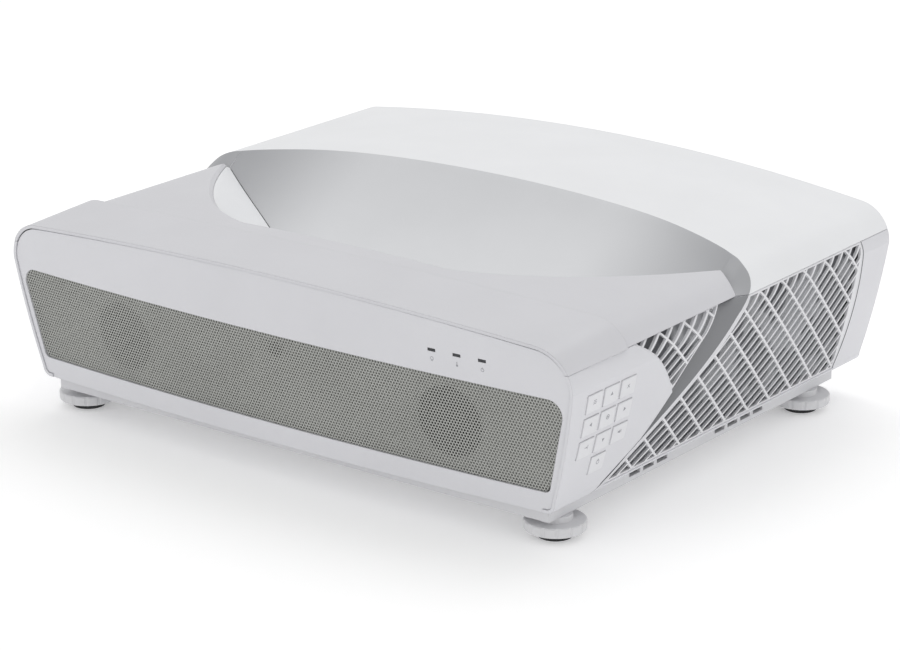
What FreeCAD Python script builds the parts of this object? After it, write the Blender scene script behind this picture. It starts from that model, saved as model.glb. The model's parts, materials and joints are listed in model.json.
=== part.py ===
"""Ultra-short-throw home projector, built as an assembly of separate pieces.

Frame: millimetres, +Z up, the front with the loudspeakers faces -Y, the wall side is +Y.
The origin is on the surface the projector stands on, under the middle of its outline.
"""
import FreeCAD, Part
import math
import os
from FreeCAD import Vector

# ---- overall sizes -------------------------------------------------------------------
width = 510.0               # widest line, across the two side panels
depth = 417.0               # foremost edge of the front cover to the rear panel
height = 168.0              # floor to the top of the rear cover
front_drop = 11.5           # front cover lies this much lower than the rear cover
front_inset = 2.5           # front side panels stand back this much from the rear ones
wall = 2.5                  # moulded cover thickness
seam_gap = 0.3              # gap between neighbouring covers

# ---- cross-section of the covers -----------------------------------------------------
rear_crown_radius = 1700.0
front_crown_radius = 2600.0
rear_shoulder_radius = 28.0
front_shoulder_radius = 30.0
skirt_half_width = width / 2 - 21.0   # half the width at the lower edge of the side panels
skirt_z = 27.0              # underside of the side panels
skirt_corner_radius = 7.0
side_bulge = 1.6            # how far the leaning side bows out of its chord
seam_front_z = 130.0        # parting line of top covers and side panels, at the front
seam_rear_z = 134.2         # the same at the rear

# ---- front face ----------------------------------------------------------------------
front_bow = 10.0            # the front face bows out this much at the middle
front_lean = 5.7            # degrees, the top of the front face leans forward
bezel_thickness = 4.0
bezel_reveal = 0.8          # bezel lies this much behind the rim of the covers
band_rise = 3.5             # the front band climbs this much towards its crease
band_depth = 61.0           # front edge to the crease, at the middle
band_crease_radius = 1700.0
grille_top_half = width / 2 - 9.1
grille_top_z = 110.6
grille_bottom_half = width / 2 - 25.0
grille_bottom_z = 42.1
grille_top_radius = 11.0
grille_bottom_radius = 5.0
grille_thickness = 0.8
grille_recess = 1.0
fit_gap = 0.25              # clearance around inserted panels

# ---- light well ----------------------------------------------------------------------
well_front_y = -121.0       # front edge of the opening in the front cover
well_front_half = 92.0      # half the length of its straight front edge
well_shoulder_x = width / 2 - 16.5   # where the opening runs out over the shoulders
well_shoulder_y = 6.7
well_edge_sag = 12.0        # bow of the slanted edges
well_slope = 0.9            # inward run of the well's side walls for each mm down
well_tip_slope = 0.65       # slant of the opening's edge over the shoulder
well_floor_z = 98.0
# crease of the rear cover: distance in from the widest line and y, from near the middle to the shoulder
crease_middle_y = 57.0
crease = [(195.0, 57.0), (139.0, 56.0), (95.0, 52.5), (62.0, 45.6), (44.0, 40.4), (27.5, 33.5)]
ramp_mid_run = 0.48         # the ramp's middle point, as parts of its length and of its rise
ramp_mid_rise = 0.34
ramp_lift = (0.0, 18.0, 60.0)   # from the crease to a point well above the cover
wall_shift = (-0.55, 0.55, -0.75)   # direction of the wall's thickness, inwards
corner_reach = 39.0         # the rear cover's wall runs on under the front cover this far in
corner_y = -5.0
window_front_y = -112.0
window_depth = 24.0
window_z = 94.0
ramp_low_y = -86.0
window_half = 62.0
window_thickness = 3.0

# ---- side panels and vents -----------------------------------------------------------
sweep_rear = [(26, 152), (-8, 113), (-42, 87), (-98, 54), (-150, 24)]
sweep_front = [(22, 152), (-24, 123), (-47, 103), (-70, 80), (-152, 24)]
# slanted wall that carries the crease down the side: distance in from the widest line, y and z of
# its upper edge and of its foot
wall_edge = [(29.5, 34.4, 153.0), (27.5, 33.5, 152.7), (17.0, 28.6, 150.2), (10.0, 25.8, 145.8),
             (5.0, 22.4, 140.1), (2.2, 18.6, 135.5), (0.8, 13.2, 131.1), (0.1, 3.4, 124.0),
             (2.0, -8.0, 113.0), (7.1, -42.0, 87.0), (15.3, -98.0, 54.0), (23.3, -150.0, 24.0)]
wall_foot = [(31.0, 15.5, 139.2), (29.5, 15.0, 139.0), (20.5, 12.5, 138.2), (15.2, 9.5, 136.0),
             (13.0, 5.5, 133.6), (12.0, 1.0, 132.2), (11.8, -4.5, 131.0), (12.0, -14.0, 127.5),
             (13.8, -28.0, 118.5), (17.5, -55.0, 96.0), (25.5, -103.0, 57.0), (35.0, -152.0, 24.0)]
step_lip = 1.5              # narrow lip at the foot of the step
keypad_top_y = -127.0
keypad_tip_y = -68.0
keypad_tip_z = 83.0
keypad_bulge = 5.0
vent_rim = 3.0
vent_rear_y = depth / 2 - 39.0
vent_rear_bulge = 6.0
vent_low_z = 31.5
vent_recess = 1.6
# centre slat of the louvres in side view: y and z of points along it
slat_line = [(125.0, 208.5), (105.0, 190.0), (80.0, 166.5), (58.0, 146.0), (37.0, 127.5), (21.5, 115.0),
             (6.0, 103.8), (-30.0, 80.5), (-70.0, 57.5), (-160.0, 7.0)]
slat_pitch = 8.5            # along the ribs
slat_width = 1.6
slat_depth = 2.0
slat_recess = 0.6
slats_ahead = 10
slats_behind = 20
rib_angle = math.radians(42)    # below the horizontal, towards the rear
rib_pitch = 19.7
rib_offset = 97.3           # distance of the first rib from the origin, in side view
ribs_before = 9
ribs_after = 6

# ---- tray and feet -------------------------------------------------------------------
tray_bottom_z = 17.0
tray_half_width = width / 2 - 31.0
tray_front_y = -depth / 2 + 28.5
tray_rear_y = depth / 2 - 23.5
tray_wall = 3.0
tray_slot_length = 13.0
tray_slot_height = 4.0
foot_x = width / 2 - 40.0
foot_front_y = -depth / 2 + 48.5
foot_rear_y = depth / 2 - 52.5
foot_radius = 21.75
foot_rim_height = 7.0
foot_flats = 14
pad_radius = 12.0
pad_height = 5.5
collar_radius = 12.0        # collar that stops the foot against the tray
stud_radius = 4.0
stud_clearance = 0.05
insert_radius = 6.0
boss_radius = 9.0
boss_height = 22.0

# ---- keypad --------------------------------------------------------------------------
key_width = 16.5
key_height = 13.2
key_pitch_y = 19.5
key_pitch_z = 16.8
key_first_y = -168.0
key_first_z = 105.5
key_thickness = 3.0
key_proud = 0.9
key_travel = 0.8
key_gap = 0.35

# ---- front pieces --------------------------------------------------------------------
baffle_gap = 3.0
baffle_thickness = 2.5
baffle_post_x = 90.0
speaker_x = width / 2 - 107.0
speaker_z = 75.0
speaker_radius = 26.0
magnet_radius = 17.0
receiver_radius = 5.5
receiver_z = 97.0
indicator_x = width / 2 - 92.6
indicator_z = 128.0
indicator_pitch = 20.2
indicator_length = 6.0
indicator_height = 2.0

# ---- fastenings ----------------------------------------------------------------------
tray_rim = 9.0
tray_slot_pitch = 17.0
tray_slot_z = 20.5
tray_slots_front = -85.0
tray_slots_rear = 23.0
stud_length = 24.0
spigot_radius = 6.0
ceiling_pitch_x = 240.0
ceiling_pitch_y = 170.0
ceiling_y = 0.0
ceiling_radius = 3.0
ceiling_depth = 12.0
screw_x = 150.0
screw_radius = 1.5
screw_head = 3.0

# ---- sockets of the rear panel -------------------------------------------------------
panel_thickness = 3.0
socket_z = 62.0
socket_pitch = 24.0
hdmi_x = 120.0
hdmi_width = 15.0
hdmi_height = 5.6
vga_x = 45.0
vga_width = 31.0
vga_height = 12.6
lan_x = 8.0
lan_width = 16.0
lan_height = 13.4
usb_x = -18.0
usb_width = 13.2
usb_height = 5.8
jack_places = (-42.0, -58.0)
jack_radius = 4.0
inlet_x = -150.0
inlet_width = 30.0
inlet_height = 23.0

# ---- inner pieces --------------------------------------------------------------------
board_z = 38.0
board_width = 230.0
board_front_y = 95.0
board_rear_y = 180.0
supply_area = (-165.0, -75.0, -95.0, 65.0)     # x and y limits of the power supply
lens_x = 0.0
lens_z = 62.0
lens_front_y = -62.0
mirror_half = 52.0
mirror_y = -174.0
mirror_z0 = 36.0
mirror_z1 = 108.0
mirror_radius = 95.0
laser_x = 62.0
laser_y = 22.0
wheel_x = 92.0
wheel_y = -10.0
wheel_radius = 28.0
fan_x = width / 2 - 52.0
fan_z = 78.0
fan_size = 80.0
fan_depth = 24.0
fan_left_y = 60.0
fan_front_y = 20.0
fan_rear_y = 104.0

# ---- derived -------------------------------------------------------------------------
front_y = -depth / 2
rear_y = depth / 2
half = width / 2
front_top = height - front_drop
bow_radius = (half ** 2 + front_bow ** 2) / (2 * front_bow)
seam_slope = (seam_rear_z - seam_front_z) / depth
front_mid_z = (skirt_z + front_top) / 2
rear_centre_drop = math.sqrt((rear_crown_radius - rear_shoulder_radius) ** 2
                             - (half - rear_shoulder_radius) ** 2)
shoulder_z = height - rear_crown_radius + rear_centre_drop
lean_tan = math.tan(math.radians(front_lean))
FAR = 400.0


def box(x0, x1, y0, y1, z0, z1):
    """Block between two corners."""
    return Part.makeBox(x1 - x0, y1 - y0, z1 - z0, Vector(x0, y0, z0))


def mirrored(shape):
    """The same piece on the other side of the middle plane."""
    return shape.mirror(Vector(0, 0, 0), Vector(1, 0, 0))


def cylinder(radius, length, place, direction=Vector(0, 0, 1)):
    return Part.makeCylinder(radius, length, place, direction)


def arc(a, b, c):
    return Part.Arc(a, b, c).toShape()


def line(a, b):
    return Part.makeLine(a, b)


# ---- cross-section and outer volumes -------------------------------------------------
def section(y, half_width, top, crown, shoulder, inset):
    """Closed cross-section of the covers in the plane y, shrunk by inset all round."""
    cx = half_width - shoulder
    cz = top - crown + math.sqrt((crown - shoulder) ** 2 - cx ** 2)
    r = shoulder - inset
    side_x = half_width - inset
    tilt = math.atan2(cx, cz - top + crown)
    meet_x = cx + r * math.sin(tilt)
    meet_z = cz + r * math.cos(tilt)
    mid = (math.pi / 2 + tilt) / 2
    knee_x = cx + r * math.sin(mid)
    knee_z = cz + r * math.cos(mid)
    foot_half = skirt_half_width - inset
    corner = skirt_corner_radius - inset
    foot_x0 = foot_half - corner
    foot_z = skirt_z + inset + corner
    bulge_x = (foot_half + side_x) / 2 + side_bulge
    bulge_z = (foot_z + cz) / 2
    diag = corner * math.sqrt(0.5)

    def p(x, z):
        return Vector(x, y, z)

    edges = [line(p(-foot_x0, skirt_z + inset), p(foot_x0, skirt_z + inset)),
             arc(p(foot_x0, skirt_z + inset), p(foot_x0 + diag, foot_z - diag), p(foot_half, foot_z)),
             arc(p(foot_half, foot_z), p(bulge_x, bulge_z), p(side_x, cz)),
             arc(p(side_x, cz), p(knee_x, knee_z), p(meet_x, meet_z)),
             arc(p(meet_x, meet_z), p(0, top - inset), p(-meet_x, meet_z)),
             arc(p(-meet_x, meet_z), p(-knee_x, knee_z), p(-side_x, cz)),
             arc(p(-side_x, cz), p(-bulge_x, bulge_z), p(-foot_half, foot_z)),
             arc(p(-foot_half, foot_z), p(-foot_x0 - diag, foot_z - diag), p(-foot_x0, skirt_z + inset))]
    return Part.Face(Part.Wire(edges))


def rear_volume(inset, y0, y1):
    face = section(y0, half, height, rear_crown_radius, rear_shoulder_radius, inset)
    return face.extrude(Vector(0, y1 - y0, 0))


def front_volume(inset, y0, y1):
    face = section(y0, half - front_inset, front_top, front_crown_radius, front_shoulder_radius, inset)
    return face.extrude(Vector(0, y1 - y0, 0))


def band_volume(inset):
    """Front band of the top: it climbs from the front edge to the crease."""
    start = front_y - 20
    run = band_depth + 60
    climb = band_rise / band_depth
    face = section(start, half - front_inset, front_top, front_crown_radius, front_shoulder_radius, inset)
    face.translate(Vector(0, 0, climb * (front_y - start) * -1))
    solid = face.extrude(Vector(0, run, run * climb))
    behind = cylinder(band_crease_radius + inset, FAR,
                      Vector(0, front_y + band_depth + band_crease_radius, 0))
    return solid.cut(behind)


def front_limit(setback):
    """Volume behind the bowed and leaning front face, moved back by setback."""
    radius = bow_radius - setback
    reach = bow_radius / math.cos(math.radians(front_lean))
    centre = Vector(0, front_y + reach + lean_tan * (front_top - front_mid_z), front_mid_z)
    drum = Part.makeCylinder(radius, 2 * FAR, centre - Vector(0, 0, FAR), Vector(0, 0, 1))
    drum.rotate(centre, Vector(1, 0, 0), front_lean)
    return drum


def seam_z(y):
    """Height of the parting line at y."""
    return seam_front_z + seam_slope * (y - front_y)


def above_seam(gap):
    """Everything above the parting line of the covers."""
    z0 = seam_front_z + gap
    z1 = seam_rear_z + gap
    wire = Part.makePolygon([Vector(-FAR, front_y - 40, z0 - seam_slope * 40),
                             Vector(-FAR, rear_y + 40, z1 + seam_slope * 40),
                             Vector(-FAR, rear_y + 40, FAR),
                             Vector(-FAR, front_y - 40, FAR),
                             Vector(-FAR, front_y - 40, z0 - seam_slope * 40)])
    return Part.Face(wire).extrude(Vector(2 * FAR, 0, 0))


# ---- light well ----------------------------------------------------------------------
def well_outline(z, grow):
    """Outline of the well at height z: straight front edge, slanted sides, open to the rear."""
    down = front_top - z
    front = well_front_y + 0.08 * down - grow
    fx = well_front_half - 0.5 * down + 0.4 * grow
    mx = (well_front_half + well_shoulder_x) / 2 + 0.4 * well_edge_sag - well_slope * down + 0.7 * grow
    my = (well_front_y + well_shoulder_y) / 2 - 1.6 * well_edge_sag + well_slope * down - 0.7 * grow
    sx = well_shoulder_x - 0.9 * well_slope * down + 0.75 * grow
    sy = well_shoulder_y + 0.9 * well_slope * down - 0.65 * grow
    out = 130.0

    def p(x, y):
        return Vector(x, y, z)

    edges = [line(p(-fx, front), p(fx, front)),
             arc(p(fx, front), p(mx, my), p(sx, sy)),
             line(p(sx, sy), p(sx + out, sy - out * well_tip_slope)),
             line(p(sx + out, sy - out * well_tip_slope), p(sx + out, FAR)),
             line(p(sx + out, FAR), p(-sx - out, FAR)),
             line(p(-sx - out, FAR), p(-sx - out, sy - out * well_tip_slope)),
             line(p(-sx - out, sy - out * well_tip_slope), p(-sx, sy)),
             arc(p(-sx, sy), p(-mx, my), p(-fx, front))]
    return Part.Wire(edges)


def well_volume(grow):
    low = well_floor_z - 30
    high = height + 40
    return Part.makeLoft([well_outline(low, grow), well_outline(high, grow)], True, True)


def ramp_section(x, y):
    """Side view at x of the space above the ramp; y is that of the crease there."""
    top = Vector(x, y, height - rear_crown_radius + math.sqrt(rear_crown_radius ** 2 - x ** 2))
    low = Vector(x, ramp_low_y, well_floor_z)
    mid = Vector(x, y + (low.y - y) * ramp_mid_run, low.z + (top.z - low.z) * ramp_mid_rise)
    lift = top + Vector(*ramp_lift)
    front = Vector(x, well_front_y - 60, low.z)
    peak = Vector(x, front.y, lift.z)
    return Part.Wire([arc(top, mid, low), line(low, front), line(front, peak), line(peak, lift),
                      line(lift, top)])


def ramp_volume(drop):
    """Space in front of and above the hollow ramp that climbs to the crease of the rear cover."""
    side = [(half - inset, y) for inset, y in crease]
    spots = [(-x, y) for x, y in reversed(side)] + [(0.0, crease_middle_y)] + side
    solid = Part.makeLoft([ramp_section(x, y) for x, y in spots], True, False)
    return solid.translated(Vector(0, 0.5 * drop, -0.87 * drop))


# ---- side sweep: the line that parts the front and rear side panels ------------------
def side_x(z, offset):
    """The leaning plane of the right side panel, moved outwards by offset."""
    lean = (half - skirt_half_width) / (shoulder_z - skirt_z - skirt_corner_radius)
    return skirt_half_width + lean * (z - skirt_z - skirt_corner_radius) + offset


def through(spots):
    """Smooth curve through the points, at even steps of its parameter."""
    curve = Part.BSplineCurve()
    curve.interpolate(Points=spots, Parameters=[float(k) for k in range(len(spots))])
    return curve.toShape()


def wall_cutter(drop):
    """Space in front of the slanted wall that carries the crease over the shoulder and down the side."""
    edge = [Vector(half - inset, y, z) for inset, y, z in wall_edge]
    foot = [Vector(half - inset, y, z) for inset, y, z in wall_foot]
    outer = [e + (e - f) * 0.8 for e, f in zip(edge, foot)]
    wall_face = Part.makeRuledSurface(through(outer), through(foot))
    solid = wall_face.extrude(Vector(0, -FAR, 0))
    return solid.translated(Vector(*wall_shift) * drop)


def sweep_edge(points, dy=0.0, dz=0.0):
    """The S-shaped line as a curve in the plane x = 0."""
    curve = Part.BSplineCurve()
    curve.interpolate([Vector(0, y + dy, z + dz) for y, z in points])
    return curve.toShape()


def side_prism(edges):
    """Region drawn in y and z, pushed out through the right side."""
    return Part.Face(Part.Wire(edges)).extrude(Vector(FAR, 0, 0))


def behind_sweep(points, dy, dz):
    """Everything behind the S-shaped line."""
    curve = sweep_edge(points, dy, dz)
    top = curve.Vertexes[0].Point
    low = curve.Vertexes[-1].Point
    far_top = Vector(0, rear_y + 60, top.z)
    far_low = Vector(0, rear_y + 60, low.z)
    return side_prism([curve, line(low, far_low), line(far_low, far_top), line(far_top, top)])


def keypad_zone(grow):
    """The front side panel in side view: its rear edge is an arc above and the S-line below."""
    tip = Vector(0, keypad_tip_y + grow, keypad_tip_z)
    top = Vector(0, keypad_top_y + grow, seam_rear_z)
    bulge = Vector(0, (tip.y + top.y) / 2 + keypad_bulge, (tip.z + top.z) / 2 + keypad_bulge)
    low = Vector(0, tip.y, skirt_z - 10)
    far_top = Vector(0, front_y - 60, seam_rear_z)
    far_low = Vector(0, front_y - 60, skirt_z - 10)
    return side_prism([arc(top, bulge, tip), line(tip, low), line(low, far_low),
                       line(far_low, far_top), line(far_top, top)])


def vent_zone(rim):
    """Opening of the rear vent in side view, inside its rim."""
    curve = sweep_edge(sweep_rear, 1.2 * rim, -0.6 * rim)
    ahead = curve.Vertexes[0].Point
    low = curve.Vertexes[-1].Point
    region = side_prism([curve, line(low, Vector(0, rear_y, low.z)),
                         line(Vector(0, rear_y, low.z), Vector(0, rear_y, ahead.z)),
                         line(Vector(0, rear_y, ahead.z), ahead)])
    top = Vector(0, vent_rear_y, seam_z(vent_rear_y))
    edge = [line(Vector(0, front_y, seam_z(front_y)), top),
            arc(top, Vector(0, vent_rear_y + vent_rear_bulge, (top.z + vent_low_z) / 2),
                Vector(0, vent_rear_y, vent_low_z)),
            line(Vector(0, vent_rear_y, vent_low_z), Vector(0, front_y, vent_low_z)),
            line(Vector(0, front_y, vent_low_z), Vector(0, front_y, seam_z(front_y)))]
    return region.common(side_prism(edge))


def slat(k, across):
    """One slat in side view, k steps along the ribs from the centre slat."""
    move = across * (k * slat_pitch)
    upper = sweep_edge(slat_line, move.y, move.z)
    lower = upper.translated(across * slat_width)
    return side_prism([upper, line(upper.Vertexes[-1].Point, lower.Vertexes[-1].Point), lower,
                       line(lower.Vertexes[0].Point, upper.Vertexes[0].Point)])


def lattice():
    """Curved slats that repeat along the ribs, and the straight ribs that tie them."""
    across = Vector(0, math.cos(rib_angle), -math.sin(rib_angle))
    along = Vector(0, math.sin(rib_angle), math.cos(rib_angle))
    bars = [slat(k, across) for k in range(-slats_ahead, slats_behind + 1)]
    for k in range(-ribs_before, ribs_after + 1):
        spot = along * (rib_offset + k * rib_pitch)
        a = spot - across * FAR
        b = spot + across * FAR
        side = along * slat_width
        bars.append(Part.Face(Part.makePolygon([a, b, b + side, a + side, a])).extrude(Vector(FAR, 0, 0)))
    return bars


def grille(layer, border):
    """Lattice clipped to a layer of the side, held in its border."""
    pieces = [bar.common(layer) for bar in lattice()]
    return border.multiFuse([piece for piece in pieces if piece.Volume > 1.0])


# ---- covers --------------------------------------------------------------------------
def right_half():
    return box(0, FAR, -FAR, FAR, -10, FAR)


def sides_of(cutter):
    return cutter.fuse(mirrored(cutter))


def top_rear_cover():
    start = well_front_y - 40
    outer = rear_volume(0, start, rear_y).cut(ramp_volume(0)).cut(sides_of(wall_cutter(0)))
    inner = rear_volume(wall, start - 20, rear_y + 1).cut(ramp_volume(wall)).cut(sides_of(wall_cutter(wall)))
    corner = sides_of(box(half - corner_reach, FAR, corner_y, crease_middle_y, 0, height))
    corner = corner.cut(well_volume(wall + seam_gap))
    shell = outer.cut(inner).common(well_volume(-seam_gap).fuse(corner))
    reach = well_shoulder_x - 10.5
    middle = box(-reach, reach, ramp_low_y, crease_middle_y + 40, 0, height)
    return biggest(shell.common(above_seam(seam_gap).fuse(middle)))


def top_front_cover():
    outer = band_volume(0).fuse(front_volume(0, front_y - 20, crease_middle_y + 20))
    inner = band_volume(wall).fuse(front_volume(wall, front_y - 40, crease_middle_y + 40))
    shell = outer.cut(inner).common(front_limit(0)).common(above_seam(seam_gap))
    return biggest(shell.cut(well_volume(0)))


def biggest(shape):
    """Drop the slivers that a boolean leaves."""
    return max(shape.Solids, key=lambda s: s.Volume)


def light_well():
    """Front and side walls of the well, and the frame of its window."""
    body = front_volume(wall + seam_gap, front_y, crease_middle_y)
    ring = well_volume(wall).cut(well_volume(0)).common(body).common(ramp_volume(-seam_gap))
    floor = well_volume(wall).common(box(-half, half, well_front_y - 20, ramp_low_y - seam_gap,
                                         window_z, well_floor_z + 0.5))
    glass_hole = box(-window_half, window_half, window_front_y, window_front_y + window_depth,
                     window_z - 1, well_floor_z + 1)
    ring = ring.fuse(floor).cut(glass_hole)
    return biggest(ring)


def projection_window():
    return box(-window_half + fit_gap, window_half - fit_gap, window_front_y + fit_gap,
               window_front_y + window_depth - fit_gap, window_z, window_z + window_thickness)


def front_side_panel():
    """Right front side panel, with the keypad's openings."""
    shell = front_volume(0, front_y - 20, crease_middle_y)
    shell = shell.cut(front_volume(wall, front_y - 30, crease_middle_y + 10))
    shell = shell.common(right_half()).common(front_limit(0)).cut(above_seam(0))
    shell = shell.cut(box(-1, tray_half_width + fit_gap, front_y - 20, crease_middle_y + 20,
                          0, skirt_z + wall + 1))
    shell = shell.common(keypad_zone(0)).cut(behind_sweep(sweep_front, -seam_gap, seam_gap))
    return biggest(shell.common(wall_cutter(-1.5 * seam_gap)))


def rear_side_panel():
    """Right rear side panel: the slanted step, and the frame around the rear vent."""
    outer = rear_volume(0, front_y, rear_y).cut(wall_cutter(0))
    inner = rear_volume(wall, front_y - 10, rear_y + 1).cut(wall_cutter(wall))
    shell = outer.cut(inner).common(right_half()).cut(above_seam(0))
    shell = shell.cut(box(-1, tray_half_width + fit_gap, front_y - 20, rear_y + 20, 0,
                          skirt_z + tray_rim + fit_gap))
    shell = shell.common(behind_sweep(sweep_front, -step_lip, step_lip)).cut(vent_zone(vent_rim))
    return biggest(shell)


def rear_vent(panel):
    outer = rear_volume(slat_recess, front_y, rear_y)
    layer = outer.cut(rear_volume(slat_recess + slat_depth, front_y, rear_y))
    layer = layer.common(right_half()).common(vent_zone(vent_rim)).cut(above_seam(-seam_gap)).cut(panel)
    layer = biggest(layer)
    border = layer.cut(vent_zone(vent_rim + slat_width).common(vent_band()))
    return biggest(grille(layer, border))


def vent_band():
    """Rear vent's opening, narrowed by a border at top, bottom and rear."""
    low = vent_low_z + slat_width
    rear = vent_rear_y - slat_width
    corners = [(front_y, seam_z(front_y) - slat_width), (rear, seam_z(rear) - slat_width),
               (rear, low), (front_y, low)]
    spots = [Vector(0, y, z) for y, z in corners]
    return Part.Face(Part.makePolygon(spots + spots[:1])).extrude(Vector(FAR, 0, 0))


def front_vent(panel):
    outer = front_volume(vent_recess, front_y, crease_middle_y)
    layer = outer.cut(front_volume(vent_recess + slat_depth, front_y, crease_middle_y))
    layer = layer.common(right_half()).cut(above_seam(-seam_gap)).cut(keypad_zone(seam_gap))
    layer = layer.cut(behind_sweep(sweep_front, -seam_gap, seam_gap)).cut(panel)
    layer = biggest(layer.cut(box(0, FAR, front_y, rear_y, 0, keypad_tip_z)))
    inside = layer.common(box(0, FAR, keypad_top_y - 60, rear_y, 0, seam_front_z + 1.0))
    inside = inside.cut(keypad_zone(seam_gap + slat_width))
    inside = inside.cut(behind_sweep(sweep_front, -seam_gap - slat_width, seam_gap))
    return biggest(grille(layer, layer.cut(inside)))


# ---- front face ----------------------------------------------------------------------
def front_point(x, z, setback):
    """Point of the bowed and leaning front face, moved back by setback."""
    lean = lean_tan * (z - front_top)
    bow = (bow_radius - setback) - math.sqrt((bow_radius - setback) ** 2 - x ** 2)
    return Vector(x, front_y + setback / math.cos(math.radians(front_lean)) + bow - lean, z)


def on_front(shape, x, z, setback):
    """Seat a piece that was drawn along +Y square on the front face."""
    shape = shape.copy()
    shape.rotate(Vector(0, 0, 0), Vector(1, 0, 0), front_lean)
    shape.rotate(Vector(0, 0, 0), Vector(0, 0, 1), math.degrees(math.asin(x / bow_radius)))
    shape.translate(front_point(x, z, setback))
    return shape


def front_skin(inset, near, far):
    """Curved plate behind the front face, between two setbacks."""
    body = front_volume(inset, front_y - 30, front_y + 60)
    return body.common(front_limit(near)).cut(front_limit(far))


def grille_opening(shrink):
    """The wide opening of the front, pushed through in Y."""
    top = grille_top_half - shrink
    low = grille_bottom_half - shrink
    z1 = grille_top_z - shrink
    z0 = grille_bottom_z + shrink
    y = front_y - 60
    face = Part.Face(Part.makePolygon([Vector(-low, y, z0), Vector(low, y, z0), Vector(top, y, z1),
                                       Vector(-top, y, z1), Vector(-low, y, z0)]))
    solid = face.extrude(Vector(0, 150, 0))
    corners = [e for e in solid.Edges if abs(e.tangentAt(e.FirstParameter).y) > 0.99]
    middle = (z0 + z1) / 2
    solid = solid.makeFillet(grille_top_radius, [e for e in corners if e.CenterOfMass.z > middle])
    corners = [e for e in solid.Edges if abs(e.tangentAt(e.FirstParameter).y) > 0.99 and e.Length > 100]
    return solid.makeFillet(grille_bottom_radius, [e for e in corners if e.CenterOfMass.z < z0 + 1])


def front_bezel():
    plate = front_skin(wall + fit_gap, bezel_reveal, bezel_reveal + bezel_thickness)
    reach = tray_half_width
    chin = front_volume(0, front_y - 30, tray_front_y - fit_gap).common(front_limit(bezel_reveal))
    chin = chin.common(box(-reach, reach, -FAR, tray_front_y - fit_gap, skirt_z, skirt_z + wall + 0.5))
    plate = plate.fuse(chin).cut(grille_opening(0))
    for shape in indicator_slots(fit_gap / 2):
        plate = plate.cut(shape)
    return biggest(plate)


def indicator_slots(grow):
    slots = []
    for k in range(3):
        shape = box(-indicator_length / 2 - grow, indicator_length / 2 + grow, -5, bezel_thickness + 4,
                    -indicator_height / 2 - grow, indicator_height / 2 + grow)
        slots.append(on_front(shape, indicator_x + (k - 1) * indicator_pitch, indicator_z, bezel_reveal))
    return slots


def indicator_lenses():
    body = front_limit(bezel_reveal)
    lenses = [slot.common(body) for slot in indicator_slots(0)]
    bar = box(-indicator_pitch - indicator_length / 2, indicator_pitch + indicator_length / 2, 0, 2.0, -3, 3)
    bar = on_front(bar, indicator_x, indicator_z, bezel_reveal + bezel_thickness + 1.0)
    return bar.multiFuse(lenses)


def speaker_grille():
    skin = front_skin(0, bezel_reveal + grille_recess, bezel_reveal + grille_recess + grille_thickness)
    return biggest(skin.common(grille_opening(fit_gap)))


def front_baffle():
    near = bezel_reveal + bezel_thickness + baffle_gap
    skin = front_skin(wall + 2.0, near, near + baffle_thickness)
    for side in (-1, 1):
        skin = skin.cut(on_front(cylinder(speaker_radius, 30, Vector(0, -15, 0), Vector(0, 1, 0)),
                                 side * speaker_x, speaker_z, near))
    skin = skin.cut(on_front(cylinder(receiver_radius + fit_gap, 30, Vector(0, -15, 0), Vector(0, 1, 0)),
                             0, receiver_z, near))
    skin = skin.common(box(-FAR, FAR, -FAR, FAR, skirt_z + tray_rim + 1, grille_top_z + 6))
    pegs = []
    for x in (-baffle_post_x, 0, baffle_post_x):
        for z in (grille_top_z + 3.5, grille_bottom_z - 3.5):
            peg = cylinder(2.5, baffle_gap + 0.8, Vector(0, 0.2 - baffle_gap, 0), Vector(0, 1, 0))
            pegs.append(on_front(peg, x, z, near))
    return biggest(skin.multiFuse(pegs))


def revolve_y(points):
    """Turn a closed outline of (radius, y) about the Y axis."""
    spots = [Vector(r, y, 0) for r, y in points]
    face = Part.Face(Part.makePolygon(spots + [spots[0]]))
    return face.revolve(Vector(0, 0, 0), Vector(0, 1, 0), 360)


def speaker(side):
    """Basket and magnet of one loudspeaker, behind the baffle."""
    near = bezel_reveal + bezel_thickness + baffle_gap + baffle_thickness + fit_gap
    r = speaker_radius
    outline = [(r - 1.0, 0), (r + 4, 0), (r + 4, 2), (r, 2), (magnet_radius, 16), (magnet_radius, 26),
               (0, 26), (0, 15), (magnet_radius - 2, 15)]
    return on_front(revolve_y(outline), side * speaker_x, speaker_z, near)


def speaker_cone(side):
    """Paper cone with its rolled edge and dust cap."""
    near = bezel_reveal + bezel_thickness + baffle_gap + baffle_thickness
    r = speaker_radius - 0.4
    outline = [(r, -0.2), (r, -1.4), (r - 2.5, -2.2), (r - 5, -1.0), (8, 8), (4, 5.5), (0, 5), (0, 6.2),
               (4, 6.7), (8, 9.4), (r - 5, 0.2), (r - 2.5, -1.0), (r - 1.2, -0.2)]
    return on_front(revolve_y(outline), side * speaker_x, speaker_z, near)


def ir_receiver():
    near = bezel_reveal + bezel_thickness + baffle_gap
    body = cylinder(receiver_radius, 8, Vector(0, -1, 0), Vector(0, 1, 0))
    body = body.fuse(box(-7, 7, baffle_thickness + 0.2, 7, -7, 7))
    return on_front(body, 0, receiver_z, near)


# ---- keypad --------------------------------------------------------------------------
side_lean = math.atan2(half - skirt_half_width, shoulder_z - skirt_z - skirt_corner_radius)


def key_spots():
    """Name, row and column of each key."""
    names = [["key_menu", "key_up", "key_exit"], ["key_left", "key_enter", "key_right"],
             ["key_source", "key_down", "key_volume"]]
    spots = [(names[row][col], row, col) for row in range(3) for col in range(3)]
    return spots + [("key_power", 3, 1)]


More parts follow.
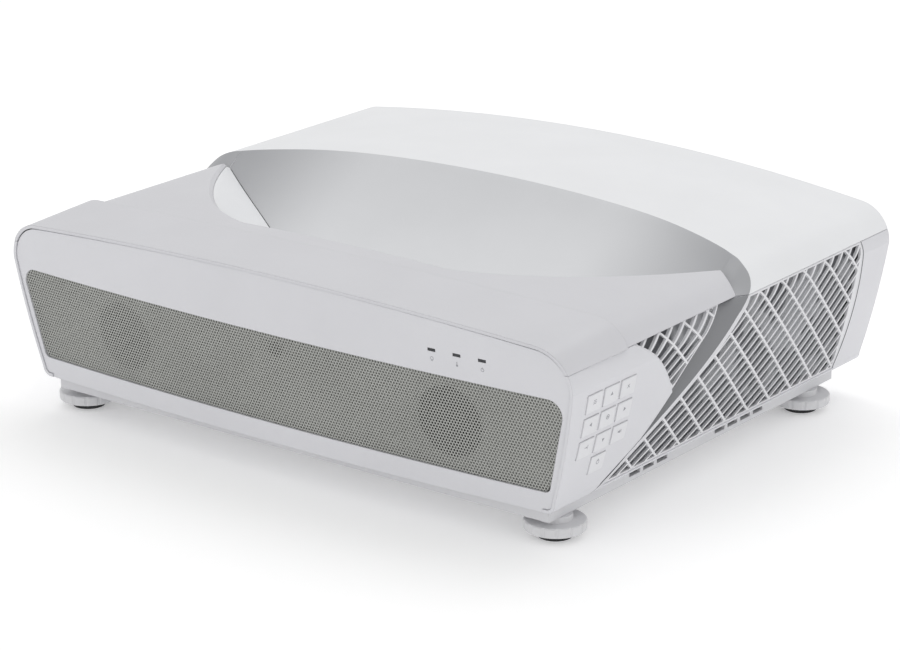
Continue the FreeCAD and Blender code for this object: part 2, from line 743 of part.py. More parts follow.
def key_block(row, col, grow):
    """Straight block along the key's travel, through the leaning side panel."""
    w = key_width / 2 + grow
    h = key_height / 2 + grow
    block = box(-20, 20, -w, w, -h, h)
    block.rotate(Vector(0, 0, 0), Vector(0, 1, 0), math.degrees(side_lean))
    z = key_first_z - row * key_pitch_z
    x = side_x(z, -front_inset)
    block.translate(Vector(x, key_first_y + col * key_pitch_y, z))
    return block


def key(row, col):
    body = front_volume(-key_proud, front_y, front_y + 120)
    body = body.cut(front_volume(key_thickness, front_y - 1, front_y + 121))
    return biggest(key_block(row, col, 0).common(body))


def keypad_board():
    """Board with a dome switch behind each key, on four posts from the side panel."""
    depth_in = key_thickness + key_travel + 0.3
    centre_z = key_first_z - 1.5 * key_pitch_z
    board = box(-depth_in - 3.0, -depth_in - 1.4, -26, 26, -38, 38)
    parts = []
    for _, row, col in key_spots():
        y = (col - 1) * key_pitch_y
        z = (1.5 - row) * key_pitch_z
        parts.append(box(-depth_in - 1.4, -depth_in, y - 3, y + 3, z - 3, z + 3))
    for y in (-23, 23):
        for z in (-35, 35):
            parts.append(cylinder(2.2, 9, Vector(-depth_in - 1.4, y, z), Vector(1, 0, 0)))
    board = board.multiFuse(parts)
    board.rotate(Vector(0, 0, 0), Vector(0, 1, 0), math.degrees(side_lean))
    board.translate(Vector(side_x(centre_z, -front_inset), key_first_y + key_pitch_y, centre_z))
    return biggest(board.common(front_volume(wall + 0.05, front_y - 10, crease_middle_y)))


# ---- tray and feet -------------------------------------------------------------------
def foot_spots():
    return [("front_left", -foot_x, foot_front_y), ("front_right", foot_x, foot_front_y),
            ("rear_left", -foot_x, foot_rear_y), ("rear_right", foot_x, foot_rear_y)]


def ceiling_spots():
    return [(sx * ceiling_pitch_x / 2, ceiling_y + sy * ceiling_pitch_y / 2)
            for sx in (-1, 1) for sy in (-1, 1)]


def screw_spots():
    return [(x, y) for x in (-screw_x, screw_x) for y in (tray_front_y + 12, tray_rear_y - 12)]


def bottom_tray():
    w = tray_half_width
    top = skirt_z + tray_rim
    tray = box(-w, w, tray_front_y, tray_rear_y, tray_bottom_z, top)
    tray = tray.cut(box(-w + tray_wall, w - tray_wall, tray_front_y + tray_wall, tray_rear_y - tray_wall,
                        tray_bottom_z + tray_wall, top + 1))
    bosses = [cylinder(boss_radius, boss_height, Vector(x, y, tray_bottom_z)) for _, x, y in foot_spots()]
    bosses += [cylinder(ceiling_radius + 4, ceiling_depth, Vector(x, y, tray_bottom_z))
               for x, y in ceiling_spots()]
    bosses += [cylinder(4.0, top - tray_bottom_z, Vector(x, y, tray_bottom_z)) for x, y in screw_spots()]
    tray = tray.multiFuse(bosses)
    for _, x, y in foot_spots():
        tray = tray.cut(cylinder(insert_radius, boss_height + 2, Vector(x, y, tray_bottom_z - 1)))
    for x, y in ceiling_spots():
        tray = tray.cut(cylinder(ceiling_radius, ceiling_depth + 2, Vector(x, y, tray_bottom_z - 1)))
    for x, y in screw_spots():
        tray = tray.cut(cylinder(screw_radius + 0.2, FAR, Vector(x, y, tray_bottom_z - 1)))
        tray = tray.cut(cylinder(screw_head + 0.3, 2.0, Vector(x, y, tray_bottom_z)))
    slots = []
    for first, count in ((tray_slots_front, 3), (tray_slots_rear, 4)):
        for k in range(count):
            y = first + k * tray_slot_pitch
            slots.append(box(-FAR, FAR, y, y + tray_slot_length, tray_slot_z, tray_slot_z + tray_slot_height))
    return tray.cut(Part.makeCompound(slots))


def foot_inserts():
    """Threaded brass inserts in the four foot bosses."""
    made = []
    for _, x, y in foot_spots():
        bush = cylinder(insert_radius, boss_height, Vector(x, y, tray_bottom_z))
        made.append(bush.cut(cylinder(stud_radius + stud_clearance, boss_height + 2,
                                      Vector(x, y, tray_bottom_z - 1))))
    return Part.makeCompound(made)


def foot_disc(x, y):
    """Knurled foot: a flat-sided disc with its threaded stud and a spigot for the pad."""
    z0 = pad_height
    disc = cylinder(foot_radius, foot_rim_height, Vector(x, y, z0))
    disc = disc.makeChamfer(0.8, disc.Edges[:1] + disc.Edges[2:3])
    notch = []
    for k in range(foot_flats):
        a = 2 * math.pi * k / foot_flats
        spot = Vector(x + math.cos(a) * (foot_radius + 1.1), y + math.sin(a) * (foot_radius + 1.1), z0 - 1)
        notch.append(cylinder(2.0, foot_rim_height + 2, spot))
    disc = disc.cut(Part.makeCompound(notch))
    z1 = z0 + foot_rim_height
    stud = cylinder(stud_radius, stud_length, Vector(x, y, z1))
    collar = cylinder(collar_radius, tray_bottom_z - stud_clearance - z1, Vector(x, y, z1))
    spigot = cylinder(spigot_radius, pad_height - 1.0, Vector(x, y, 1.2))
    return disc.multiFuse([stud, collar, spigot])


def foot_pad(x, y):
    pad = cylinder(pad_radius, pad_height - 0.3, Vector(x, y, 0))
    return pad.cut(cylinder(spigot_radius + stud_clearance, pad_height, Vector(x, y, 1.0)))


def cover_screws():
    made = []
    for x, y in screw_spots():
        head = cylinder(screw_head, 1.8, Vector(x, y, tray_bottom_z + 0.2))
        made.append(head.fuse(cylinder(screw_radius, 16, Vector(x, y, tray_bottom_z + 2.0))))
    return Part.makeCompound(made)


# ---- rear panel and sockets ----------------------------------------------------------
def rear_panel():
    plate = rear_volume(wall + fit_gap, rear_y - panel_thickness, rear_y)
    reach = tray_half_width
    chin = box(-reach, reach, tray_rear_y + fit_gap, rear_y, skirt_z, skirt_z + wall + 0.5)
    plate = plate.fuse(chin)
    for x, z, w, h in socket_table():
        plate = plate.cut(box(x - w / 2 - fit_gap, x + w / 2 + fit_gap, rear_y - 10, rear_y + 1,
                              z - h / 2 - fit_gap, z + h / 2 + fit_gap))
    for x in jack_places:
        plate = plate.cut(cylinder(jack_radius + fit_gap, 12, Vector(x, rear_y - 10, socket_z),
                                   Vector(0, 1, 0)))
    return plate


def socket_table():
    """Middle x, middle z, width and height of each rectangular cut-out of the rear panel."""
    return [(hdmi_x, socket_z, hdmi_width, hdmi_height),
            (hdmi_x - socket_pitch, socket_z, hdmi_width, hdmi_height),
            (vga_x, socket_z, vga_width, vga_height), (lan_x, socket_z, lan_width, lan_height),
            (usb_x, socket_z, usb_width, usb_height), (inlet_x, socket_z + 6, inlet_width, inlet_height)]


def shelled_socket(x, z, w, h, deep, rim):
    """Open box of a socket, its mouth in the rear panel."""
    body = box(x - w / 2, x + w / 2, rear_y - deep, rear_y - 0.4, z - h / 2, z + h / 2)
    return body.cut(box(x - w / 2 + rim, x + w / 2 - rim, rear_y - deep + 2, rear_y,
                        z - h / 2 + rim, z + h / 2 - rim))


def hdmi_ports():
    made = []
    for x in (hdmi_x, hdmi_x - socket_pitch):
        shell = shelled_socket(x, socket_z, hdmi_width, hdmi_height, 12, 0.5)
        tongue = box(x - 5, x + 5, rear_y - 11, rear_y - 2, socket_z - 0.6, socket_z + 0.4)
        made.append(shell.fuse(tongue))
    return Part.makeCompound(made)


def vga_port():
    body = box(vga_x - vga_width / 2, vga_x + vga_width / 2, rear_y - 12, rear_y - 0.4,
               socket_z - vga_height / 2, socket_z + vga_height / 2)
    nose = box(vga_x - 8.5, vga_x + 8.5, rear_y - 1, rear_y - 0.1, socket_z - 4, socket_z + 4)
    return body.fuse(nose)


def lan_port():
    return shelled_socket(lan_x, socket_z, lan_width, lan_height, 16, 1.6)


def usb_port():
    shell = shelled_socket(usb_x, socket_z, usb_width, usb_height, 14, 0.5)
    return shell.fuse(box(usb_x - 5.5, usb_x + 5.5, rear_y - 13, rear_y - 2, socket_z, socket_z + 1.6))


def audio_jacks():
    made = []
    for x in jack_places:
        body = cylinder(jack_radius, 12, Vector(x, rear_y - 12.4, socket_z), Vector(0, 1, 0))
        made.append(body.cut(cylinder(1.8, 12, Vector(x, rear_y - 11, socket_z), Vector(0, 1, 0))))
    return Part.makeCompound(made)


def ac_inlet():
    z = socket_z + 6
    body = shelled_socket(inlet_x, z, inlet_width, inlet_height, 22, 2.5)
    pins = []
    for dx, dz in ((-7, -1), (7, -1), (0, 3.5)):
        pins.append(box(inlet_x + dx - 1, inlet_x + dx + 1, rear_y - 20.5, rear_y - 5,
                        z + dz - 2, z + dz + 2))
    return body.multiFuse(pins)


# ---- inner pieces --------------------------------------------------------------------
def posts(spots, z0, z1, radius=3.0):
    return [cylinder(radius, z1 - z0, Vector(x, y, z0)) for x, y in spots]


def main_board():
    """Main circuit board across the rear, on posts from the tray floor."""
    board = box(-board_width / 2, board_width / 2, board_front_y, board_rear_y, board_z, board_z + 1.6)
    corners = [(sx * (board_width / 2 - 6), y) for sx in (-1, 1)
               for y in (board_front_y + 6, board_rear_y - 6)]
    chips = [box(x - 9, x + 9, y - 9, y + 9, board_z + 1.6, board_z + 5)
             for x, y in ((-60, 120), (-20, 110), (25, 125), (70, 115))]
    return board.multiFuse(chips + posts(corners, tray_bottom_z + tray_wall, board_z))


def power_supply():
    """Power supply board with its transformer and capacitors, on posts."""
    x0, x1, y0, y1 = supply_area
    z = board_z
    board = box(x0, x1, y0, y1, z, z + 1.6)
    parts = [box(x0 + 10, x0 + 45, y0 + 15, y0 + 50, z + 1.6, z + 34),
             cylinder(9, 30, Vector(x0 + 65, y0 + 25, z + 1.6)),
             cylinder(9, 30, Vector(x0 + 65, y0 + 50, z + 1.6)),
             box(x0 + 12, x0 + 18, y0 + 70, y1 - 15, z + 1.6, z + 36),
             box(x0 + 35, x0 + 60, y0 + 80, y0 + 110, z + 1.6, z + 26)]
    corners = [(x, y) for x in (x0 + 5, x1 - 5) for y in (y0 + 5, y1 - 5)]
    return board.multiFuse(parts + posts(corners, tray_bottom_z + tray_wall, z))


def projection_lens():
    """Lens barrel, pointing forward at the curved mirror."""
    y0 = lens_front_y
    barrel = revolve_y([(17, 0), (26, 0), (26, 18), (31, 20), (31, 44), (27, 46), (27, 84), (22, 84),
                        (22, 46), (17, 40)])
    front = cylinder(17, 5, Vector(0, 6, 0), Vector(0, 1, 0))
    rear_glass = cylinder(22, 5, Vector(0, 70, 0), Vector(0, 1, 0))
    body = barrel.fuse(front).fuse(rear_glass)
    body.translate(Vector(lens_x, y0, lens_z))
    return body


def light_engine():
    """Housing with the imaging chip and the prisms, on posts from the tray floor."""
    y0 = lens_front_y + 84
    body = box(lens_x - 45, lens_x + 45, y0, y0 + 46, lens_z - 24, lens_z + 36)
    body = body.cut(cylinder(20, 30, Vector(lens_x, y0 - 1, lens_z), Vector(0, 1, 0)))
    legs = posts([(lens_x + dx, y0 + dy) for dx in (-35, 35) for dy in (8, 38)], tray_bottom_z + tray_wall,
                 lens_z - 24, 4.0)
    saddle = box(lens_x - 22, lens_x + 22, lens_front_y + 24, lens_front_y + 34,
                 tray_bottom_z + tray_wall, lens_z)
    saddle = saddle.cut(cylinder(31.2, 60, Vector(lens_x, lens_front_y, lens_z), Vector(0, 1, 0)))
    base = box(lens_x - 39, lens_x + 39, lens_front_y + 24, y0 + 10, tray_bottom_z + tray_wall,
               tray_bottom_z + tray_wall + 4)
    return body.multiFuse(legs + [saddle, base])


def curved_mirror():
    """Hollow mirror that throws the image back and up through the window, with its foot."""
    block = box(-mirror_half, mirror_half, mirror_y, mirror_y + 34, mirror_z0, mirror_z1)
    ball = Part.makeSphere(mirror_radius, Vector(0, mirror_y + 12 + mirror_radius * 0.94,
                                                 (mirror_z0 + mirror_z1) / 2 + mirror_radius * 0.34))
    block = block.cut(ball)
    foot = box(-mirror_half + 10, mirror_half - 10, mirror_y, mirror_y + 14,
               tray_bottom_z + tray_wall, mirror_z0)
    return biggest(block.fuse(foot))


def laser_module():
    body = box(laser_x, laser_x + 62, laser_y, laser_y + 50, lens_z - 22, lens_z + 26)
    legs = posts([(laser_x + dx, laser_y + dy) for dx in (8, 54) for dy in (8, 42)],
                 tray_bottom_z + tray_wall, lens_z - 22, 4.0)
    return body.multiFuse(legs)


def heat_sink():
    """Finned heat sink on the laser module."""
    z0 = lens_z + 26
    base = box(laser_x, laser_x + 62, laser_y, laser_y + 50, z0, z0 + 4)
    fins = [box(laser_x + 62.0 * k / 12, laser_x + 62.0 * k / 12 + 1.2, laser_y, laser_y + 50, z0 + 4, z0 + 24)
            for k in range(12)]
    return base.multiFuse(fins)


def wheel_mount():
    """Motor of the phosphor wheel, with its bracket and shaft."""
    c = Vector(wheel_x, wheel_y, lens_z)
    motor = cylinder(13, 16, c, Vector(0, -1, 0))
    shaft = cylinder(2.0, 8, c, Vector(0, 1, 0))
    bracket = box(c.x - 12, c.x + 12, c.y - 16, c.y - 2, tray_bottom_z + tray_wall, c.z)
    return motor.multiFuse([shaft, bracket])


def phosphor_wheel():
    c = Vector(wheel_x, wheel_y + 1.0, lens_z)
    disc = cylinder(wheel_radius, 1.2, c + Vector(0, 2, 0), Vector(0, 1, 0))
    disc = disc.fuse(cylinder(7, 5, c, Vector(0, 1, 0)))
    return disc.cut(cylinder(2.0 + stud_clearance, 12, c - Vector(0, 3, 0), Vector(0, 1, 0)))


def fan_spots():
    return [("left", -1, fan_left_y), ("right_front", 1, fan_front_y), ("right_rear", 1, fan_rear_y)]


def fan_frames():
    """Square frames with four struts and a bearing seat, and feet to the tray floor."""
    made = []
    for _, side, y in fan_spots():
        x0 = side * fan_x - fan_depth / 2
        s = fan_size / 2
        frame = box(x0, x0 + fan_depth, y - s, y + s, fan_z - s, fan_z + s)
        frame = frame.cut(cylinder(s - 2, fan_depth + 2, Vector(x0 - 1, y, fan_z), Vector(1, 0, 0)))
        seat = cylinder(14, 3, Vector(x0, y, fan_z), Vector(1, 0, 0))
        struts = [box(x0, x0 + 3, y - s + 1, y + s - 1, fan_z - 2, fan_z + 2),
                  box(x0, x0 + 3, y - 2, y + 2, fan_z - s + 1, fan_z + s - 1)]
        shaft = cylinder(1.5, fan_depth - 6, Vector(x0 + 3, y, fan_z), Vector(1, 0, 0))
        foot = box(x0, x0 + fan_depth, y - 12, y + 12, tray_bottom_z + tray_wall, fan_z - s)
        made.append(frame.multiFuse([seat, shaft, foot] + struts))
    return Part.makeCompound(made)


def fan_rotor(side, y):
    x0 = side * fan_x - fan_depth / 2 + 4
    hub = cylinder(13, fan_depth - 7, Vector(x0, y, fan_z), Vector(1, 0, 0))
    reach = fan_size / 2 - 3.5
    blades = []
    for k in range(9):
        blade = box(x0 + 1, x0 + fan_depth - 8, y - 0.7, y + 0.7, fan_z + 11, fan_z + reach)
        blade.rotate(Vector(x0, y, fan_z + 20), Vector(0, 0, 1), 32)
        blade.rotate(Vector(x0, y, fan_z), Vector(1, 0, 0), 40 * k)
        blades.append(blade)
    tube = cylinder(reach, fan_depth - 9, Vector(x0 + 1, y, fan_z), Vector(1, 0, 0))
    rotor = hub.multiFuse(blades).common(tube.fuse(hub))
    return biggest(rotor.cut(cylinder(1.5 + stud_clearance, fan_depth, Vector(x0 - 1, y, fan_z),
                                      Vector(1, 0, 0))))


def build():
    """Every piece by its name."""
    parts = {make.__name__: make for make in
             (front_bezel, speaker_grille, front_baffle, ir_receiver, indicator_lenses, top_front_cover,
              top_rear_cover, light_well, projection_window, rear_panel, bottom_tray, foot_inserts,
              cover_screws, keypad_board, hdmi_ports, vga_port, audio_jacks, ac_inlet,
              main_board, power_supply, projection_lens, light_engine, curved_mirror, laser_module,
              heat_sink, wheel_mount, phosphor_wheel, fan_frames)}
    shapes = {name: make() for name, make in parts.items()}
    front_side = front_side_panel()
    shapes["left_front_panel"] = mirrored(front_side)
    for name, row, col in key_spots():
        front_side = front_side.cut(key_block(row, col, key_gap))
        shapes[name] = key(row, col)
    shapes["right_front_panel"] = biggest(front_side)
    panel = rear_side_panel()
    for name, shape in (("rear_side_panel", panel), ("front_vent", front_vent(panel)),
                        ("rear_vent", rear_vent(panel))):
        shapes["right_" + name] = shape
        shapes["left_" + name] = mirrored(shape)
    shapes["speaker_baskets"] = Part.makeCompound([speaker(-1), speaker(1)])
    shapes["speaker_cones"] = Part.makeCompound([speaker_cone(-1), speaker_cone(1)])
    shapes["data_ports"] = Part.makeCompound([lan_port(), usb_port()])
    for name, x, y in foot_spots():
        shapes["foot_" + name] = foot_disc(x, y)
        shapes["foot_pad_" + name] = foot_pad(x, y)
    for name, side, y in fan_spots():
        shapes["fan_rotor_" + name] = fan_rotor(side, y)
    return shapes


def main():
    os.makedirs("parts", exist_ok=True)
    for name, shape in build().items():
        shape.exportStep("parts/%s.step" % name)


main()
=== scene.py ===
import json
import math

import bpy
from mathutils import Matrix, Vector


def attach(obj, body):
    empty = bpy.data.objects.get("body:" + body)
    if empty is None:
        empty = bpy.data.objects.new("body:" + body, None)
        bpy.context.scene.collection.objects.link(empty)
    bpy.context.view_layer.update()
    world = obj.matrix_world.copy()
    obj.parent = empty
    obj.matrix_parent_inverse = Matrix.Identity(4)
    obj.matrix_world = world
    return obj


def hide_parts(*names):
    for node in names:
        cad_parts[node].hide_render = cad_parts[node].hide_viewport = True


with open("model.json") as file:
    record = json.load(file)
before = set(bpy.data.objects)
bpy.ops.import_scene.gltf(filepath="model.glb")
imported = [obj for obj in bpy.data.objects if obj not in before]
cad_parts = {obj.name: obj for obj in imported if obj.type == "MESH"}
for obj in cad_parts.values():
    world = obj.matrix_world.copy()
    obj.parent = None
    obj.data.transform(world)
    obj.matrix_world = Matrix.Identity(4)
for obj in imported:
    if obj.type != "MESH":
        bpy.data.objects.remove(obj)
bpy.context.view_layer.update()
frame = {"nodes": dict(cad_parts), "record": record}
nodes = frame["nodes"]
MM = 0.001

# ---- sizes of the part that the drawn pieces follow (mm) -----------------------------
FRONT_Y = -208.5            # foremost edge of the front
FRONT_TOP = 156.5
FRONT_LEAN = 5.7            # degrees
BEZEL_REVEAL = 0.8          # the bezel lies this much behind the covers
BOW_RADIUS = 3256.25
FOOT_HALF = 234.0           # half width at the lower end of the sides
SIDE_LOW = 34.0
SIDE_BULGE = 6.4
FRONT_SIDE = (18.5, 116.85, 222.5, 30.0)    # lean, shoulder height, shoulder centre x and radius
REAR_SIDE = (21.0, 124.5, 227.0, 28.0)
GRILLE_SETBACK = 1.8
GRILLE_THICKNESS = 0.8
GRILLE_TOP = (245.4, 110.1)
GRILLE_LOW = (229.9, 42.6)
GRILLE_CORNERS = (11.0, 5.0)                # radius at the top and at the bottom
LEANING_CORNER = 1.1        # a corner of a leaning side reaches in further than its radius
HOLE_PITCH = 2.4
HOLE_RADIUS = 0.98
SCREEN_DEPTH = 6.5          # sheet behind the outside of the side
SCREEN_THICKNESS = 0.6
# Line of the step on the side, as (height, depth): the front edge of the rear vent and the rear edge of the
# front vent.
SWEEP = [(24.0, -150.0), (54.0, -98.0), (87.0, -42.0), (113.0, -8.0), (152.0, 26.0)]
FRONT_SWEEP = [(80.0, -70.0), (103.0, -47.0), (123.0, -24.0), (152.0, 22.0)]
REAR_SCREEN = (-150, 177, 33, 131)          # from and to in depth, from and to in height
FRONT_SCREEN = (-112, -8, 84, 130)
REAR_SCREEN_EDGE = 4.0      # the sheet stops this far from the line of the step
FRONT_SCREEN_EDGE = 1.0
KEY_PITCH = (19.5, 16.8)
KEY_FIRST = (-168.0, 105.5)
KEY_PROUD = 0.9
KEY_ROUNDING = 0.5
FOOT_ROUNDING = 0.4
INK_HEIGHT = 0.06
INK_SUNK = 0.01             # a mark is let into its key by this much
INDICATOR_X = 162.4
INDICATOR_PITCH = 20.2
INDICATOR_Z = 128.0
INDICATOR_MARK_DROP = 6.5   # marks lie this far below the windows

# ---- view, light and floor ----------------------------------------------------------
camera = bpy.data.cameras.new("camera")
camera.lens = 126.58        # mm, a long portrait view
camera.sensor_width = 36.0
camera.clip_end = 20.0      # metres
camera_object = bpy.data.objects.new("camera", camera)
bpy.context.collection.objects.link(camera_object)
camera_object.location = (1.3576, -1.7767, 0.8071)
camera_object.rotation_euler = (math.radians(71.6), 0, math.radians(37.3))
bpy.context.scene.camera = camera_object
bpy.context.scene.view_settings.view_transform = "Standard"


def linear(code):
    """Linear colour of an sRGB hex value."""
    parts = [int(code[k:k + 2], 16) / 255 for k in (1, 3, 5)]
    curve = [c / 12.92 if c <= 0.04045 else ((c + 0.055) / 1.055) ** 2.4 for c in parts]
    return (*curve, 1.0)


def add(tree, kind, settings=None, links=None):
    """Adds a node: settings are its properties or its inputs, links feed its inputs."""
    made = tree.nodes.new(kind)
    for key, value in (settings or {}).items():
        if isinstance(key, str) and hasattr(made, key):
            setattr(made, key, value)
        else:
            made.inputs[key].default_value = value
    for key, (source, output) in (links or {}).items():
        tree.links.new(source.outputs[output], made.inputs[key])
    return made


def softbox(name, place, aim, width, depth, power):
    """Rectangular studio light that faces a point."""
    lamp = bpy.data.lights.new(name, "AREA")
    lamp.shape = "RECTANGLE"
    lamp.size = width
    lamp.size_y = depth
    lamp.energy = power
    holder = bpy.data.objects.new(name, lamp)
    bpy.context.collection.objects.link(holder)
    holder.location = place
    holder.rotation_euler = (Vector(aim) - Vector(place)).to_track_quat("-Z", "Y").to_euler()


world = bpy.data.worlds.new("studio")
bpy.context.scene.world = world
world.use_nodes = True
sky = world.node_tree.nodes["Background"].inputs
sky["Color"].default_value = linear("#FDFDFD")
sky["Strength"].default_value = 0.72
softbox("overhead", (-0.3, 0.7, 2.1), (0, 0.05, 0.1), 2.4, 1.6, 13)
softbox("right_strip", (2.2, 0.9, 1.1), (0.1, 0, 0.1), 1.2, 1.2, 2.2)
softbox("front_fill", (-1.4, -2.2, 0.9), (0, -0.1, 0.1), 1.6, 1.2, 1.7)


# ---- finishes -----------------------------------------------------------------------
def finish(name, colour, shade, roughness, grain_mm, depth_mm, coat=0.0, metallic=0.0, edge_mm=0.0,
           cloud_mm=55.0):
    """A real surface: two close tones in soft clouds, and a fine skin in relief and gloss.

    grain_mm is the size of the skin's grain, depth_mm its height and edge_mm the rounding that
    catches light along the edges.
    """
    material = bpy.data.materials.new(name)
    material.use_nodes = True
    tree = material.node_tree
    surface = tree.nodes["Principled BSDF"]
    surface.inputs["Metallic"].default_value = metallic
    surface.inputs["Coat Weight"].default_value = coat
    surface.inputs["Coat Roughness"].default_value = 0.12
    place = add(tree, "ShaderNodeTexCoord")
    clouds = add(tree, "ShaderNodeTexNoise", {"Scale": 1000 / cloud_mm, "Detail": 3.0},
                 {"Vector": (place, "Object")})
    tone = add(tree, "ShaderNodeValToRGB", links={"Fac": (clouds, "Fac")})
    tone.name = "tone"
    tone.color_ramp.elements[0].position = 0.3
    tone.color_ramp.elements[0].color = linear(shade)
    tone.color_ramp.elements[1].position = 0.7
    tone.color_ramp.elements[1].color = linear(colour)
    skin = add(tree, "ShaderNodeTexNoise", {"Scale": 1000 / grain_mm, "Detail": 2.0},
               {"Vector": (place, "Object")})
    gloss = add(tree, "ShaderNodeMapRange", {"From Min": 0.3, "From Max": 0.7, "To Min": roughness - 0.04,
                                             "To Max": roughness + 0.04}, {"Value": (skin, "Fac")})
    relief = add(tree, "ShaderNodeBump", {"Strength": 0.35, "Distance": depth_mm * MM},
                 {"Height": (skin, "Fac")})
    if edge_mm:
        rounding = add(tree, "ShaderNodeBevel", {"samples": 6, "Radius": edge_mm * MM})
        tree.links.new(rounding.outputs["Normal"], relief.inputs["Normal"])
    tree.links.new(tone.outputs["Color"], surface.inputs["Base Color"])
    tree.links.new(gloss.outputs["Result"], surface.inputs["Roughness"])
    tree.links.new(relief.outputs["Normal"], surface.inputs["Normal"])
    return material


def painted_shade_finish(name, base, step, centre):
    """A moulded cover with painted shade on its forward-facing wall: a darker grey, deepest at the sides.

    centre is the share of the painted shade at the middle of the part.
    """
    material = base.copy()
    material.name = name
    tree = material.node_tree
    place = add(tree, "ShaderNodeTexCoord")
    facing = add(tree, "ShaderNodeSeparateXYZ", links={"Vector": (place, "Normal")})
    spot = add(tree, "ShaderNodeSeparateXYZ", links={"Vector": (place, "Object")})
    forward = add(tree, "ShaderNodeMapRange", {"From Min": -0.12, "From Max": -0.3, "To Min": 0.0,
                                               "To Max": 1.0}, {"Value": (facing, "Y")})
    out = add(tree, "ShaderNodeMath", {"operation": "ABSOLUTE"}, {0: (spot, "X")})
    reach = add(tree, "ShaderNodeMapRange", {"From Min": 0.10, "From Max": 0.236, "To Min": centre,
                                             "To Max": 1.0, "interpolation_type": "SMOOTHSTEP"},
                {"Value": (out, "Value")})
    painted_shade_amount = add(tree, "ShaderNodeMath", {"operation": "MULTIPLY"}, {0: (forward, "Result"),
                                                                    1: (reach, "Result")})
    # Mixes the painted shade's grey into the cover's own tone.
    mix = add(tree, "ShaderNodeMix", {"data_type": "RGBA"})
    mix.inputs[7].default_value = linear(step)
    tree.links.new(painted_shade_amount.outputs["Value"], mix.inputs[0])
    tree.links.new(tree.nodes["tone"].outputs["Color"], mix.inputs[6])
    tree.links.new(mix.outputs[2], tree.nodes["Principled BSDF"].inputs["Base Color"])
    return material


# The covers are injection-moulded ABS: satin, almost even, with a fine eroded skin.
white_abs = finish("satin_moulded_abs", "#DCDCE0", "#D9D9DD", 0.44, 0.9, 0.02, edge_mm=0.7)
gloss_abs = finish("semi_gloss_moulded_abs", "#E6E7EB", "#E3E4E8", 0.36, 1.4, 0.01, coat=0.12, edge_mm=0.7)
finishes = {
    "white_abs": white_abs,
    "gloss_white_abs": gloss_abs,
    # The louvres are the same moulded plastic, a little duller than the covers.
    "vent_plastic": finish("satin_moulded_louvres", "#E6E6E9", "#E2E2E5", 0.46, 0.9, 0.02),
    "tray_plastic": finish("satin_moulded_tray", "#DADADC", "#D5D5D8", 0.5, 0.9, 0.03, edge_mm=0.5),
    # Punched steel with stoved enamel: flat grey, soft gloss on each web between the holes.
    "mesh_steel": finish("grey_stoved_enamel_mesh", "#B2B3AF", "#ABACA8", 0.5, 0.6, 0.01),
    "baffle_plastic": finish("matt_grey_abs", "#C2C3BF", "#BABBB7", 0.7, 0.9, 0.03),
    "black_steel": finish("black_enamelled_steel", "#2A2A2B", "#232324", 0.45, 0.6, 0.01),
    # Pressed paper cone under a thin black coat: matt, with coarse fibres.
    "speaker_paper": finish("coated_paper_cone", "#232324", "#1C1C1D", 0.85, 0.8, 0.1),
    "smoked_plastic": finish("smoked_polycarbonate", "#1F1B1E", "#1A171A", 0.12, 2.0, 0.002),
    "indicator_plastic": finish("smoked_light_guide", "#2C2D31", "#27282C", 0.2, 2.0, 0.002),
    "window_glass": finish("coated_glass", "#3A3D41", "#35383C", 0.06, 5.0, 0.001, coat=0.6),
    "key_plastic": finish("satin_moulded_keys", "#E3E3E6", "#E0E0E3", 0.42, 0.8, 0.015),
    "foot_plastic": finish("satin_moulded_foot", "#DEDEE0", "#D9D9DB", 0.46, 0.9, 0.02),
    # Moulded rubber: black, with no gloss and an open grain.
    "foot_rubber": finish("moulded_rubber", "#39393B", "#323234", 0.8, 1.1, 0.05),
    "insert_brass": finish("turned_brass", "#B89B5E", "#A88C52", 0.35, 0.5, 0.01, metallic=1.0),
    "screw_steel": finish("zinc_plated_steel", "#A9A9AC", "#9B9B9E", 0.35, 0.5, 0.01, metallic=1.0),
    "circuit_board": finish("green_solder_mask", "#20553A", "#1A4A32", 0.4, 1.0, 0.02, coat=0.3),
    "port_steel": finish("nickel_plated_steel", "#B5B5B8", "#A8A8AB", 0.3, 0.6, 0.01, metallic=1.0),
    "port_blue": finish("blue_moulded_nylon", "#2A4C9B", "#254590", 0.5, 0.8, 0.02),
    "socket_black": finish("black_moulded_nylon", "#232324", "#1D1D1E", 0.5, 0.8, 0.02),
    "black_aluminium": finish("black_anodised_aluminium", "#37373A", "#303033", 0.4, 0.5, 0.01, metallic=0.6),
    "cast_aluminium": finish("die_cast_aluminium", "#9A9C9F", "#8D8F92", 0.5, 1.2, 0.05, metallic=0.9),
    "heat_sink_aluminium": finish("extruded_aluminium", "#B4B6BA", "#A8AAAE", 0.4, 0.8, 0.02, metallic=0.9),
    "mirror_coating": finish("vacuum_coated_mirror", "#E5E7EB", "#E0E2E6", 0.05, 5.0, 0.001, metallic=1.0),
    "motor_steel": finish("pressed_steel", "#828387", "#77787C", 0.4, 0.8, 0.01, metallic=0.8),
    # Phosphor powder in a clear binder: dull yellow and slightly grainy.
    "phosphor_disc": finish("phosphor_coating", "#D8C24A", "#CDB640", 0.7, 0.7, 0.03),
    "fan_plastic": finish("matt_black_moulding", "#4A4A4C", "#424244", 0.55, 0.9, 0.03),
}


def dress(node, material):
    """Gives all of a node's surface one material."""
    for place in nodes[node].material_slots:
        place.material = material


for entry in frame["record"]["subparts"]:
    dress(entry["node"], finishes[entry["material_slot"]])
